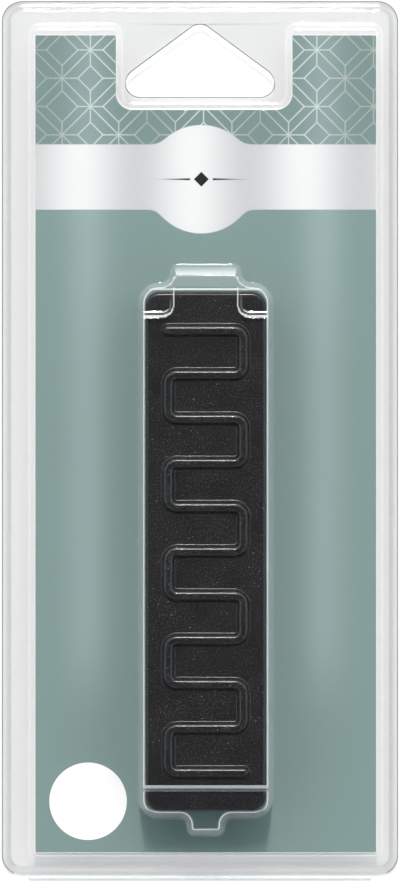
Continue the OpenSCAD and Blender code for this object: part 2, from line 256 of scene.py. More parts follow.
    # plain divider on the badge: a lozenge between two tapered rules
    sideways = addNode(tree, "Math", {0: badgeSide}, operation="ABSOLUTE")
    upright = addNode(tree, "Math", {0: badgeUp}, operation="ABSOLUTE")
    both = addNode(tree, "Math", {0: sideways, 1: upright}, operation="ADD")
    lozengeOut = addNode(tree, "Math", {0: both, 1: a["lozenge"]}, operation="SUBTRACT")
    taper = a["ruleHalf"] / a["ruleReach"]
    slopeOut = addNode(tree, "Math", {0: sideways, 1: taper, 2: upright}, operation="MULTIPLY_ADD")
    thinOut = addNode(tree, "Math", {0: slopeOut, 1: a["ruleHalf"]}, operation="SUBTRACT")
    startOut = addNode(tree, "Math", {0: a["ruleStart"], 1: sideways}, operation="SUBTRACT")
    ruleOut = addNode(tree, "Math", {0: thinOut, 1: startOut}, operation="MAXIMUM")
    dividerOut = addNode(tree, "Math", {0: lozengeOut, 1: ruleOut}, operation="MINIMUM")
    onDivider = addNode(tree, "MapRange", {
        0: dividerOut, 1: -a["ruleSoft"], 2: a["ruleSoft"], 3: 1.0, 4: 0.0})
    colour = addNode(tree, "Mix", {
        "Factor": onDivider, "A": withBand, "B": toLinear(a["ink"])}, data_type="RGBA")

    fibre = addNode(tree, "TexNoise", {"Vector": inMm, "Scale": 1 / a["fibre"], "Detail": 3.0})
    grain = addNode(tree, "Bump", {
        "Height": fibre, "Distance": a["fibreHeight"] * mm, "Strength": a["fibreStrength"]})
    surface = addNode(tree, "BsdfPrincipled", {
        "Base Color": colour, "Roughness": a["roughness"], "Normal": grain,
        "Specular IOR Level": a["specular"]})
    addNode(tree, "OutputMaterial", {"Surface": surface})
    return material


def whiteBoard():
    # uncoated board: soft white with fibres, on the card's back and its cut edges
    material, tree = newFinish("whiteBoard")
    place = addNode(tree, "TexCoord").node.outputs["Object"]
    fibre = addNode(tree, "TexNoise", {
        "Vector": place, "Scale": 1 / (bareBoard["fibre"] * mm), "Detail": 4.0})
    tone = addNode(tree, "Mix", {
        "Factor": fibre, "A": toLinear(bareBoard["shade"]), "B": toLinear(bareBoard["light"])},
        data_type="RGBA")
    grain = addNode(tree, "Bump", {
        "Height": fibre, "Distance": bareBoard["fibreHeight"] * mm,
        "Strength": bareBoard["fibreStrength"]})
    surface = addNode(tree, "BsdfPrincipled", {
        "Base Color": tone, "Roughness": bareBoard["roughness"], "Normal": grain})
    addNode(tree, "OutputMaterial", {"Surface": surface})
    return material


def labelPaper():
    # coated label paper: bright white with a faint fibre tone
    material, tree = newFinish("coatedLabelPaper")
    place = addNode(tree, "TexCoord").node.outputs["Object"]
    fibre = addNode(tree, "TexNoise", {
        "Vector": place, "Scale": 1 / (stickerPaper["fibre"] * mm), "Detail": 3.0})
    tone = addNode(tree, "Mix", {
        "Factor": fibre, "A": toLinear(stickerPaper["shade"]), "B": toLinear(stickerPaper["light"])},
        data_type="RGBA")
    surface = addNode(tree, "BsdfPrincipled", {"Base Color": tone, "Roughness": stickerPaper["roughness"]})
    addNode(tree, "OutputMaterial", {"Surface": surface})
    return material


# Wax finish

wax = {
    "dark": "0C0C0E", "bloom": "434347", "patch": 6.0, "grit": 0.36, "gritHeight": 0.05,
    "smooth": 0.36, "dull": 0.44, "ior": 1.345, "skin": 0.7, "skinRoughness": 0.23,
    "grainFrom": 0.53, "grainFull": 0.78, "patchLow": 0.35, "patchHigh": 0.65, "leastBloom": 0.4,
    "speck": "A8A6A2", "speckApart": 1.3, "speckSize": 0.16, "speckFrom": 0.53,
}


def blackWax():
    # cast hard wax: near black, a broad dull sheen under a slick skin that lights the edges,
    # with fine grit and dust
    material, tree = newFinish("castBlackWax")
    place = addNode(tree, "TexCoord").node.outputs["Object"]
    patch = addNode(tree, "TexNoise", {"Vector": place, "Scale": 1 / (wax["patch"] * mm), "Detail": 2.0})
    grit = addNode(tree, "TexNoise", {"Vector": place, "Scale": 1 / (wax["grit"] * mm), "Detail": 2.0})
    grain = addNode(tree, "MapRange", {0: grit, 1: wax["grainFrom"], 2: wax["grainFull"]})
    cover = addNode(tree, "MapRange", {
        0: patch, 1: wax["patchLow"], 2: wax["patchHigh"], 3: wax["leastBloom"], 4: 1.0})
    bloom = addNode(tree, "Math", {0: grain, 1: cover}, operation="MULTIPLY")
    tone = addNode(tree, "Mix", {
        "Factor": bloom, "A": toLinear(wax["dark"]), "B": toLinear(wax["bloom"])}, data_type="RGBA")
    dots = addNode(tree, "TexVoronoi", {"Vector": place, "Scale": 1 / (wax["speckApart"] * mm)})
    dustHalf = wax["speckSize"] / 2 / wax["speckApart"]
    dust = addNode(tree, "Math", {0: dots, 1: dustHalf}, operation="LESS_THAN")
    dusty = addNode(tree, "Math", {0: patch, 1: wax["speckFrom"]}, operation="GREATER_THAN")
    speck = addNode(tree, "Math", {0: dust, 1: dusty}, operation="MULTIPLY")
    colour = addNode(tree, "Mix", {
        "Factor": speck, "A": tone, "B": toLinear(wax["speck"])}, data_type="RGBA")
    rough = addNode(tree, "MapRange", {
        0: patch, 1: wax["patchLow"], 2: wax["patchHigh"], 3: wax["smooth"], 4: wax["dull"]})
    bump = addNode(tree, "Bump", {"Height": grain, "Distance": wax["gritHeight"] * mm, "Strength": 1.0})
    surface = addNode(tree, "BsdfPrincipled", {
        "Base Color": colour, "Roughness": rough, "Normal": bump, "IOR": wax["ior"],
        "Coat Weight": wax["skin"], "Coat Roughness": wax["skinRoughness"]})
    addNode(tree, "OutputMaterial", {"Surface": surface})
    return material


# Tools for modelling by hand in edit mode

near = 0.01  # mm: places closer than this are the same place
levelWithin = 0.001  # mm: points this close in height lie on one level
cutPast = 1  # mm: how far a cut runs past the edge that it opens
flatWithin = 1  # degrees: faces that meet at less than this become one
mergeWithin = 0.012  # mm: points of joined sheets closer than this become one
creases = {"sheet": 40, "paper": 30, "wax": 40}  # degrees from which an edge stays sharp
largeFaces = 100  # how strongly the large faces set the shading beside them
tiny = 1e-9  # keeps a share from being divided by nothing


def nodeBox(node):
    # left, bottom, right, top, low and high of a CAD node, in mm
    low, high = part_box(node)
    return [v / mm for v in (low.x, low.y, high.x, high.y, low.z, high.z)]


def grown(box, by):
    return [box[0] - by, box[1] - by, box[2] + by, box[3] + by]


def startFace(name, box, z, finishes):
    # a new flat piece over left, bottom, right and top, left in edit mode
    bpy.ops.object.select_all(action="DESELECT")
    centre = ((box[0] + box[2]) / 2 * mm, (box[1] + box[3]) / 2 * mm, z * mm)
    bpy.ops.mesh.primitive_plane_add(size=1, location=centre)
    piece = bpy.context.object
    piece.name = piece.data.name = name
    bpy.ops.transform.resize(value=((box[2] - box[0]) * mm, (box[3] - box[1]) * mm, 1))
    bpy.ops.object.transform_apply(location=True, rotation=True, scale=True)
    for finish in finishes:
        piece.data.materials.append(finish)
    bpy.ops.object.mode_set(mode="EDIT")
    return piece


def pick(kind, wanted):
    # selects the vertices, edges or faces whose middle, in mm, is wanted
    bpy.ops.mesh.select_mode(type=kind)
    bpy.ops.mesh.select_all(action="DESELECT")
    mesh = bpy.context.edit_object.data
    edit = bmesh.from_edit_mesh(mesh)
    for item in {"VERT": edit.verts, "EDGE": edit.edges, "FACE": edit.faces}[kind]:
        ends = [item] if kind == "VERT" else item.verts
        middle = sum((v.co for v in ends), Vector()) / len(ends) / mm
        if wanted(middle):
            item.select_set(True)
    edit.select_flush_mode()
    bmesh.update_edit_mesh(mesh)


def paint(slot):
    # the selected faces, and what is drawn out of them, take this material slot
    bpy.context.object.active_material_index = slot
    bpy.ops.object.material_slot_assign()


def cutAcross(axis, places):
    # straight cuts through everything, at these places along X or Y
    for place in places:
        at = Vector((0, 0, 0))
        at[axis] = place * mm
        bpy.ops.mesh.select_all(action="SELECT")
        bpy.ops.mesh.bisect(plane_co=at, plane_no=[1 if i == axis else 0 for i in range(3)])


def inside(box, middle):
    return box[0] < middle.x < box[2] and box[1] < middle.y < box[3]


def cutAway(box):
    # takes a rectangle out of a flat face and leaves one face
    cutAcross(0, (box[0], box[2]))
    cutAcross(1, (box[1], box[3]))
    pick("FACE", lambda middle: inside(box, middle))
    bpy.ops.mesh.delete(type="FACE")
    oneFace()


def oneFace():
    bpy.ops.mesh.select_mode(type="FACE")
    bpy.ops.mesh.select_all(action="SELECT")
    bpy.ops.mesh.dissolve_limited(angle_limit=math.radians(flatWithin))


def roundCorners(radius, wanted, turns=10, corner=math.pi / 2):
    # an arc that touches both sides of a corner; the profile keeps it round at any corner angle
    pick("VERT", wanted)
    profile = (1 - 0.5 / (1 + math.sin(corner / 2))) ** 2
    bpy.ops.mesh.bevel(offset=radius / math.tan(corner / 2) * mm, segments=turns, profile=profile,
                       affect="VERTICES", clamp_overlap=False)


def wallReach(wall):
    # how far a wall's rounded foot reaches out past the wall itself
    return wall["footRound"] * math.tan(math.atan2(wall["height"], wall["width"]) / 2)


def raiseWall(wall, bends=0, flatFirst=0):
    # insets the face step by step up a leaning wall; its rounded top edge takes the bends' slot
    lean = math.atan2(wall["height"], wall["width"])
    reach = wallReach(wall)
    foot, top, turns = wall["footRound"], wall["topRound"], wall["turns"]
    path = [(-reach - flatFirst, 0, 0)] if flatFirst else []
    for i in range(turns + 1):
        turn = lean * i / turns
        path.append((foot * math.sin(turn) - reach, foot * (1 - math.cos(turn)), 0))
    inner = wall["width"] + top * math.tan(lean / 2)
    for i in range(turns + 1):
        turn = lean * (1 - i / turns)
        drop = top * (1 - math.cos(turn))
        path.append((inner - top * math.sin(turn), wall["height"] - drop, bends if i else 0))
    bpy.ops.mesh.select_mode(type="FACE")
    bpy.ops.mesh.select_all(action="SELECT")
    for before, after in zip(path, path[1:]):
        step = after[0] - before[0], after[1] - before[1]
        if step != (0, 0):
            paint(after[2])
            bpy.ops.mesh.inset(thickness=step[0] * mm, depth=step[1] * mm)
    paint(0)


def openTop():
    # removes the face that raiseWall left selected, and keeps its outline
    bpy.ops.mesh.delete(type="ONLY_FACE")
    bpy.ops.object.mode_set(mode="OBJECT")


def joined(pieces):
    bpy.ops.object.select_all(action="DESELECT")
    for piece in pieces:
        piece.select_set(True)
    bpy.context.view_layer.objects.active = pieces[0]
    bpy.ops.object.join()
    return bpy.context.object


def fillLevel(piece, z):
    # closes a level by flat faces between all the open outlines that lie on it
    piece.active_material_index = 0
    bpy.ops.object.mode_set(mode="EDIT")
    bpy.ops.mesh.select_mode(type="EDGE")
    bpy.ops.mesh.select_all(action="DESELECT")
    edit = bmesh.from_edit_mesh(piece.data)
    for edge in edit.edges:
        level = all(abs(v.co.z / mm - z) < levelWithin for v in edge.verts)
        if level and len(edge.link_faces) < 2:
            edge.select_set(True)
    bmesh.update_edit_mesh(piece.data)
    bpy.ops.mesh.fill(use_beauty=True)
    bpy.ops.object.mode_set(mode="OBJECT")


def modifier(piece, kind, **settings):
    bpy.ops.object.select_all(action="DESELECT")
    piece.select_set(True)
    bpy.context.view_layer.objects.active = piece
    bpy.ops.object.modifier_add(type=kind)
    added = piece.modifiers[-1]
    for name, value in settings.items():
        setattr(added, name, value)
    bpy.ops.object.modifier_apply(modifier=added.name)


def faceUp(piece):
    # all faces of an open sheet look up and out
    bpy.ops.object.mode_set(mode="EDIT")
    bpy.ops.mesh.select_all(action="SELECT")
    bpy.ops.mesh.remove_doubles(threshold=mergeWithin * mm)
    bpy.ops.mesh.normals_make_consistent(inside=False)
    bpy.ops.object.mode_set(mode="OBJECT")
    if max(piece.data.polygons, key=lambda face: face.area).normal.z < 0:
        bpy.ops.object.mode_set(mode="EDIT")
        bpy.ops.mesh.select_all(action="SELECT")
        bpy.ops.mesh.flip_normals()
        bpy.ops.object.mode_set(mode="OBJECT")


def smooth(piece, degrees):
    bpy.ops.object.select_all(action="DESELECT")
    piece.select_set(True)
    bpy.context.view_layer.objects.active = piece
    bpy.ops.object.shade_smooth_by_angle(angle=math.radians(degrees))
    modifier(piece, "WEIGHTED_NORMAL", weight=largeFaces, keep_sharp=True)


# Clear sheet: both halves of the pack

packBox = nodeBox("front_shell")
bead = nodeBox("living_hinge")
sheet = {
    "thickness": 0.45,
    "nestGap": 0.1,
    "leastRound": 0.5,
    "cutBevel": 0.14,
    "foldReach": 0.5,
    "outerRound": 4.6, "outerTurns": 14,
    "lip": 0.8,
    "lipTop": 1.0,
    "rim": {"width": 0.9, "height": 2.4, "footRound": 0.25, "topRound": 0.35, "turns": 5},
}
panel = {
    "left": 6, "right": 3.4, "top": 5, "bottom": 4.1 - (packBox[1] - bead[1]),
    "cornerRound": 2.6, "cornerTurns": 8,
    "wall": {"width": 1.4, "height": 2.2, "footRound": 0.2, "topRound": 0.3, "turns": 5},
    "notchWidth": 36.8, "notchShift": -0.35,
    "notchDepth": 18.1,
    "notchRound": 2.0,
    "highlightReach": 2.6, "highlightDepth": 0.35,
}
hangHole = {"width": 33.8, "height": 16.5, "cornerRound": 3.2, "below": 5.35, "turns": 16}
bubble = {
    "width": 30.6, "bottom": -86.0, "top": 35.8,
    "cornerRound": 4.8,
    "wall": {"width": 1.2, "height": 16.55, "footRound": 0.22, "topRound": 0.22, "turns": 5},
    "footLean": 0.65, "footLeanFrom": 3.0, "footLeanRun": 1.8,
    "tabWidth": 16.2, "tabReach": 4.1, "tabRound": 1.85, "tabRoot": 2.2, "tabTurns": 8,
    "tabLean": 1.2, "tabLeanFrom": 36.6, "tabLeanFull": 38.4,
    "footWidth": 8.7, "footReach": 3.9, "footTabRound": 1.9, "footTabRoot": 1.5,
    "shelfDrop": 1.25, "shelfLength": 8.2, "shelfRound": 3.0,
    "stepWidth": 1.7, "sideStep": 1.1, "channelHalf": 7.1,
    "endStep": 34.0, "endStepWidth": 0.7, "endDrop": 0.8,
    "dropFrom": 12.0, "dropFull": 18.5,
    "plainShare": 0.02, "crestShare": 0.2, "crestLying": 0.25, "footLying": 0.15, "endWhite": 0.5,
    "squareOn": 0.9, "stepCuts": 12,
}
borderTop = sheet["lipTop"] + sheet["rim"]["height"]
panelTop = borderTop + panel["wall"]["height"]
panelBox = [
    packBox[0] + panel["left"], packBox[1] + panel["bottom"],
    packBox[2] - panel["right"], packBox[3] - panel["top"],
]
midX = (panelBox[0] + panelBox[2]) / 2
notchX = midX + panel["notchShift"]


def hangOutline(z):
    # rounded triangle, left as a bare outline
    half, tall, r = hangHole["width"] / 2, hangHole["height"], hangHole["cornerRound"]
    base = packBox[3] - hangHole["below"] - tall
    slope = math.atan2(tall - 2 * r, half - r)
    sharpHalf = half - r + r / math.tan(slope / 2)
    apex = base + tall - r + r / math.cos(slope)
    piece = startFace("hangOutline", [-sharpHalf, base, sharpHalf, apex], z, sheetFinishes)
    pick("EDGE", lambda middle: middle.y > apex - near)
    bpy.ops.mesh.merge(type="CENTER")
    roundCorners(r, lambda middle: middle.y < base + near, hangHole["turns"], slope)
    roundCorners(r, lambda middle: middle.y > apex - near, hangHole["turns"], math.pi - 2 * slope)
    bpy.ops.mesh.select_mode(type="FACE")
    bpy.ops.mesh.select_all(action="SELECT")
    openTop()
    return piece


def packTier(name, lipTop, rim, lip):
    piece = startFace(name, packBox, lipTop, sheetFinishes)
    roundCorners(sheet["outerRound"], lambda middle: True, sheet["outerTurns"])
    raiseWall(rim, 0, lip - wallReach(rim))
    openTop()
    return piece


def nearCorner(middle, box):
    atSide = min(abs(middle.x - box[0]), abs(middle.x - box[2])) < near
    return atSide and min(abs(middle.y - box[1]), abs(middle.y - box[3])) < near


def panelTier(name, z, wall, shift):
    # raised panel with its notch, shifted inwards for the nested half
    reach = wallReach(wall)
    box = grown(panelBox, reach - shift)
    half = panel["notchWidth"] / 2 - reach + shift
    floor = panelBox[3] - panel["notchDepth"] + reach - shift
    outerRound = panel["cornerRound"] + reach - shift
    piece = startFace(name, box, z, sheetFinishes)
    cutAway([notchX - half, floor, notchX + half, box[3] + cutPast])
    atNotchSide = lambda middle: abs(abs(middle.x - notchX) - half) < near
    notchEnd = lambda middle: atNotchSide(middle) and middle.y > box[3] - near
    roundCorners(panel["notchRound"] + shift, lambda middle: abs(middle.y - floor) < near)
    roundCorners(outerRound, lambda middle: nearCorner(middle, box), panel["cornerTurns"])
    roundCorners(outerRound, notchEnd, panel["cornerTurns"])
    raiseWall(wall)
    openTop()
    return piece


def paintFootHighlight(piece):
    # painted highlight: the panel's rounded top edge next to the fold takes the whitened fold finish, so it
    # draws a bright line
    for face in piece.data.polygons:
        y, high = (face.center / mm).yz
        atFoot = y < panelBox[1] + panel["highlightReach"] and abs(face.normal.y) > abs(face.normal.x)
        if atFoot and high > panelTop - panel["highlightDepth"]:
            face.material_index = foldAndHighlightSlot


def bubbleTier(name, z):
    wall = bubble["wall"]
    reach = wallReach(wall)
    half = bubble["width"] / 2 + reach
    body = [midX - half, bubble["bottom"] - reach, midX + half, bubble["top"] + reach]
    tabHalf, footHalf = bubble["tabWidth"] / 2 + reach, bubble["footWidth"] / 2 + reach
    tabTop, footEnd = body[3] + bubble["tabReach"], body[1] - bubble["footReach"]
    away = lambda middle: abs(middle.x - midX)
    piece = startFace(name, [body[0], footEnd, body[2], tabTop], z, sheetFinishes)
    cutAcross(1, (body[1], body[3]))
    cutAcross(0, (midX - tabHalf, midX - footHalf, midX + footHalf, midX + tabHalf))
    besideTab = lambda middle: middle.y > body[3] and away(middle) > tabHalf
    besideFoot = lambda middle: middle.y < body[1] and away(middle) > footHalf
    pick("FACE", lambda middle: besideTab(middle) or besideFoot(middle))
    bpy.ops.mesh.delete(type="FACE")
    oneFace()
    tabRoot = lambda middle: abs(away(middle) - tabHalf) < near and abs(middle.y - body[3]) < near
    footRoot = lambda middle: abs(away(middle) - footHalf) < near and abs(middle.y - body[1]) < near
    roundCorners(bubble["cornerRound"] + reach, lambda middle: nearCorner(middle, body))
    turns = bubble["tabTurns"]
    roundCorners(bubble["tabRound"] + reach, lambda middle: middle.y > tabTop - near, turns)
    roundCorners(bubble["footTabRound"] + reach, lambda middle: middle.y < footEnd + near, turns)
    roundCorners(bubble["tabRoot"] - reach, tabRoot, turns)
    roundCorners(bubble["footTabRoot"] - reach, footRoot, turns)
    # the bubble's rounded top edges take the whitened bend finish, which paints their highlight lines
    raiseWall(wall, bendAndHighlightSlot)
    lowerShelves(piece)
    whitenBendsAndPaintHighlights(piece)
    return piece


def ramp(value, low, high):
    share = min(max((value - low) / (high - low), 0), 1)
    return share * share * (3 - 2 * share)


def shelfShare(x, y):
    # 1 on the low shelves at the bubble's corners and foot, 0 on its top;
    # the second value is how far the step lies along X
    r = bubble["shelfRound"]
    foot = ramp(bubble["bottom"] + bubble["shelfLength"] - y, 0, bubble["stepWidth"])
    across = max(r - (abs(x - midX) - bubble["channelHalf"]), 0)
    along = max(r - (y - (bubble["top"] - bubble["shelfLength"])), 0)
    lying = along ** 2 / max(across ** 2 + along ** 2, tiny)
    width = bubble["sideStep"] + (bubble["stepWidth"] - bubble["sideStep"]) * lying
    corner = ramp(r - math.hypot(across, along), 0, width)
    return (foot, 1) if foot > corner else (corner, lying)


def endShare(y):
    # 1 on the tab beyond the block's end
    return ramp(y, bubble["endStep"], bubble["endStep"] + bubble["endStepWidth"])


def lowerShelves(piece):
    # cuts across the top where the steps are, lets the shelves and the tab down, leans both ends
    cuts = bubble["stepCuts"]
    shares = [i / cuts for i in range(cuts + 1)]
    topStart = bubble["top"] - bubble["shelfLength"]
    footStart = bubble["bottom"] + bubble["shelfLength"]
    cutAcross(1, [topStart + share * bubble["shelfRound"] for share in shares])
    cutAcross(1, [footStart - share * bubble["stepWidth"] for share in shares])
    cutAcross(1, [bubble["endStep"] + share * bubble["endStepWidth"] for share in shares[::2]])
    across = [bubble["channelHalf"] + share * bubble["shelfRound"] for share in shares]
    for side in (-1, 1):
        cutAcross(0, [midX + side * away for away in across])
    bpy.ops.object.mode_set(mode="OBJECT")
    for vertex in piece.data.vertices:
        x, y, high = vertex.co / mm
        drop = max(bubble["shelfDrop"] * shelfShare(x, y)[0], bubble["endDrop"] * endShare(y))
        rise = (high - panelTop) / bubble["wall"]["height"]
        tabLean = bubble["tabLean"] * ramp(y, bubble["tabLeanFrom"], bubble["tabLeanFull"])
        nearFoot = bubble["bottom"] + bubble["footLeanFrom"] - y
        footLean = bubble["footLean"] * ramp(nearFoot, 0, bubble["footLeanRun"])
        vertex.co.z -= drop * ramp(high, bubble["dropFrom"], bubble["dropFull"]) * mm
        vertex.co.y += (footLean - tabLean) * rise * mm


def whitenBendsAndPaintHighlights(piece):
    # the steps' tight bends and the tab's end take the whitened finish, which also paints their highlight
    # lines; the tab's top and the foot's slope take a faint haze, which also paints a brighter reflection
    # there
    tabStart = bubble["endStep"] + bubble["endStepWidth"]
    footStart = bubble["bottom"] + bubble["shelfLength"]
    first, last = bubble["plainShare"], 1 - bubble["plainShare"]
    for face in piece.data.polygons:
        x, y, high = face.center / mm
        share, lying = shelfShare(x, y)
        onTop = high > bubble["dropFull"]
        upper = bubble["crestShare"] + bubble["crestLying"] * lying
        lower = 1 - bubble["footLying"] * lying
        onStep = onTop and (first < share < upper or lower < share < last)
        onEnd = onTop and first < endShare(y) < bubble["endWhite"]
        endWall = y > bubble["tabLeanFrom"] and abs(face.normal.y) > bubble["squareOn"]
        footSlope = onTop and y < footStart and upper < share < last
        onTab = onTop and y > tabStart and face.normal.z > bubble["squareOn"]
        if footSlope or onTab:
            face.material_index = tabSlot
        elif onStep or onEnd or endWall:
            face.material_index = bendAndHighlightSlot


def thicken(piece):
    # gives the sheet its thickness, and its die-cut edges a fine bevel; the fold along the bead isn't cut
    modifier(piece, "SOLIDIFY", thickness=sheet["thickness"] * mm, offset=-1, use_even_offset=True,
             material_offset=innerSlot, material_offset_rim=cutSlot)
    piece.active_material_index = cutSlot
    bpy.ops.object.mode_set(mode="EDIT")
    bpy.ops.mesh.select_mode(type="FACE")
    bpy.ops.mesh.select_all(action="DESELECT")
    bpy.ops.object.material_slot_select()
    bpy.ops.mesh.region_to_loop()
    bpy.ops.mesh.bevel(offset=sheet["cutBevel"] * mm, segments=1, affect="EDGES",
                       material=cutSlot, clamp_overlap=False)
    bpy.ops.object.mode_set(mode="OBJECT")
    for face in piece.data.polygons:
        if face.material_index == cutSlot and face.center.y / mm < packBox[1] + sheet["foldReach"]:
            face.material_index = bendAndHighlightSlot
    smooth(piece, creases["sheet"])


def frontShell():
    hole = hangOutline(borderTop)
    rimTier = packTier("frontShell", sheet["lipTop"], sheet["rim"], sheet["lip"])
    cardTier = panelTier("panelTier", borderTop, panel["wall"], 0)
    # painted highlight along the panel's edge by the fold
    paintFootHighlight(cardTier)
    stickTier = bubbleTier("bubbleTier", panelTop)
    piece = joined([rimTier, cardTier, stickTier, hole])
    fillLevel(piece, borderTop)
    fillLevel(piece, panelTop)
    faceUp(piece)
    thicken(piece)
    print("front shell:", len(piece.data.polygons), "faces")
    return piece


def nested(wall, height):
    # the same wall on the sheet below, one sheet and one gap further in
    under = sheet["thickness"] + sheet["nestGap"]
    return {
        "width": wall["width"] * height / wall["height"], "height": height,
        "footRound": wall["footRound"] + sheet["nestGap"],
        "topRound": max(wall["topRound"] - under, sheet["leastRound"]),
        "turns": wall["turns"],
    }, under * math.tan(math.atan2(wall["height"], wall["width"]) / 2)


def backShell():
    under = sheet["thickness"] + sheet["nestGap"]
    rim, rimShift = nested(sheet["rim"], sheet["rim"]["height"])
    plugTop = nodeBox("back_shell")[5]
    plug, plugShift = nested(panel["wall"], plugTop - (borderTop - under))
    hole = hangOutline(borderTop - under)
    rimTier = packTier("backShell", sheet["lipTop"] - under, rim, sheet["lip"] + rimShift)
    plugTier = panelTier("plugTier", borderTop - under, plug, plugShift)
    piece = joined([rimTier, plugTier, hole])
    fillLevel(piece, borderTop - under)
    fillLevel(piece, plugTop)
    faceUp(piece)
    thicken(piece)
    print("back shell:", len(piece.data.polygons), "faces")
    return piece


# Living hinge: the folded edge that joins the two halves

hinge = {"sides": 24, "endRound": 0.6, "endTurns": 4, "endAngle": 60}


def hingeBead():
    bpy.ops.object.select_all(action="DESELECT")
    radius = (bead[5] - bead[4]) / 2
    bpy.ops.mesh.primitive_cylinder_add(
        vertices=hinge["sides"], radius=radius * mm, depth=(bead[2] - bead[0]) * mm,
        rotation=(0, math.pi / 2, 0),
        location=[(bead[i] + bead[j]) / 2 * mm for i, j in ((0, 2), (1, 3), (4, 5))])
    piece = bpy.context.object
    piece.name = piece.data.name = "hingeBead"
    bpy.ops.object.transform_apply(location=True, rotation=True, scale=True)
    modifier(piece, "BEVEL", width=radius * hinge["endRound"] * mm, segments=hinge["endTurns"],
             limit_method="ANGLE", angle_limit=math.radians(hinge["endAngle"]))
    piece.data.materials.append(petFoldAndHighlight)
    smooth(piece, creases["sheet"])
    print("hinge bead:", len(piece.data.polygons), "faces")
    return piece


# Printed card and its round label

cardBox = nodeBox("card")
card = {
    "notchRound": 3.5, "cornerRound": 0.4, "cornerTurns": 4,
    "cutEdge": 0.14, "cutTurns": 2, "printUpright": 0.99,
}
labelBox = nodeBox("shade_label")
label = {"sides": 96, "edgeRound": 0.04, "edgeTurns": 2}


def printedCard():
    # board with a notch round the hang hole; its fine bevelled cut edge and its back are bare board
    inset = cardBox[0] - panelBox[0]
    half = panel["notchWidth"] / 2 + inset
    floor = panelBox[3] - panel["notchDepth"] - inset
    piece = startFace("printedCard", cardBox[:4], cardBox[5], [printedBoard(), whiteBoard()])
    cutAway([notchX - half, floor, notchX + half, cardBox[3] + cutPast])
    roundCorners(card["notchRound"], lambda middle: abs(middle.y - floor) < near)
    outerCorner = lambda middle: not inside(grown(cardBox, -near), middle)
    roundCorners(card["cornerRound"], outerCorner, card["cornerTurns"])
    bpy.ops.object.mode_set(mode="OBJECT")
    faceUp(piece)
    modifier(piece, "SOLIDIFY", thickness=(cardBox[5] - cardBox[4]) * mm, offset=-1)
    modifier(piece, "BEVEL", width=card["cutEdge"] * mm, segments=card["cutTurns"], limit_method="ANGLE")
    for face in piece.data.polygons:
        face.material_index = 0 if face.normal.z > card["printUpright"] else 1
    smooth(piece, creases["paper"])
    print("printed card:", len(piece.data.polygons), "faces")
    return piece


def roundLabel():
    bpy.ops.object.select_all(action="DESELECT")
    centre = [(labelBox[i] + labelBox[i + 2]) / 2 * mm for i in (0, 1)]
    bpy.ops.mesh.primitive_circle_add(
        vertices=label["sides"], radius=(labelBox[2] - labelBox[0]) / 2 * mm, fill_type="NGON",
        location=(centre[0], centre[1], labelBox[5] * mm))
    piece = bpy.context.object
    piece.name = piece.data.name = "roundLabel"
    bpy.ops.object.transform_apply(location=True, rotation=True, scale=True)
    faceUp(piece)
    modifier(piece, "SOLIDIFY", thickness=(labelBox[5] - labelBox[4]) * mm, offset=-1)
    modifier(piece, "BEVEL", width=label["edgeRound"] * mm, segments=label["edgeTurns"],
             limit_method="ANGLE")
    piece.data.materials.append(labelPaper())
    smooth(piece, creases["paper"])
    print("round label:", len(piece.data.polygons), "faces")
    return piece


# Wax stick: a cast block with a raised fret

stickBox = nodeBox("wax_stick")
stick = {
    "cornerRound": 3.8,
    "wall": {"width": 0.45, "height": 15.2, "footRound": 0, "topRound": 0.8, "turns": 6},
    "backEdge": 0.5, "backTurns": 3,
    "ribWall": {"width": 0.55, "height": 1.25, "footRound": 0.4, "topRound": 0.95, "turns": 6},
    "ribHalf": 1.45, "ribRuns": 11, "ribPitch": 10.0, "ribTop": 24.9, "ribReach": 8.5,
    "bendRound": 2.0, "endRound": 0.92, "ribTurns": 6,
}


def fret(z, finishes):
    # a zigzag rib: full cross runs, joined at alternate ends
    wide = stick["ribHalf"] + wallReach(stick["ribWall"])
    pitch, reach = stick["ribPitch"], stick["ribReach"]
    runs = [stick["ribTop"] - pitch * i for i in range(stick["ribRuns"])]
    outer, inner = reach + wide, reach - wide
    piece = startFace("fret", [midX - outer, runs[-1] - wide, midX + outer, runs[0] + wide], z, finishes)
    cutAcross(1, [y + side * wide for y in runs for side in (1, -1)][1:-1])
    cutAcross(0, [midX - inner, midX + inner])

    def gapBetweenRuns(middle):
        row = math.floor((runs[0] - middle.y) / pitch)
        inGap = abs(runs[0] - middle.y - (row + 0.5) * pitch) < pitch / 2 - wide
        linkSide = 1 if row % 2 == 0 else -1
        return inGap and (middle.x - midX) * linkSide < inner

    def freeEnd(middle):
        first = middle.x < midX - reach and middle.y > runs[0] - wide - near
        return first or (middle.x > midX + reach and middle.y < runs[-1] + wide + near)

    atInner = lambda middle: abs(abs(middle.x - midX) - inner) < near
    atOuter = lambda middle: abs(middle.x - midX) > outer - near and not freeEnd(middle)
    pick("FACE", gapBetweenRuns)
    bpy.ops.mesh.delete(type="FACE")
    oneFace()
    roundCorners(wide * stick["endRound"], freeEnd, stick["ribTurns"])
    roundCorners(stick["bendRound"] - wide, atInner, stick["ribTurns"])
    roundCorners(stick["bendRound"] + wide, atOuter)
    raiseWall(stick["ribWall"])
    bpy.ops.object.mode_set(mode="OBJECT")
    return piece


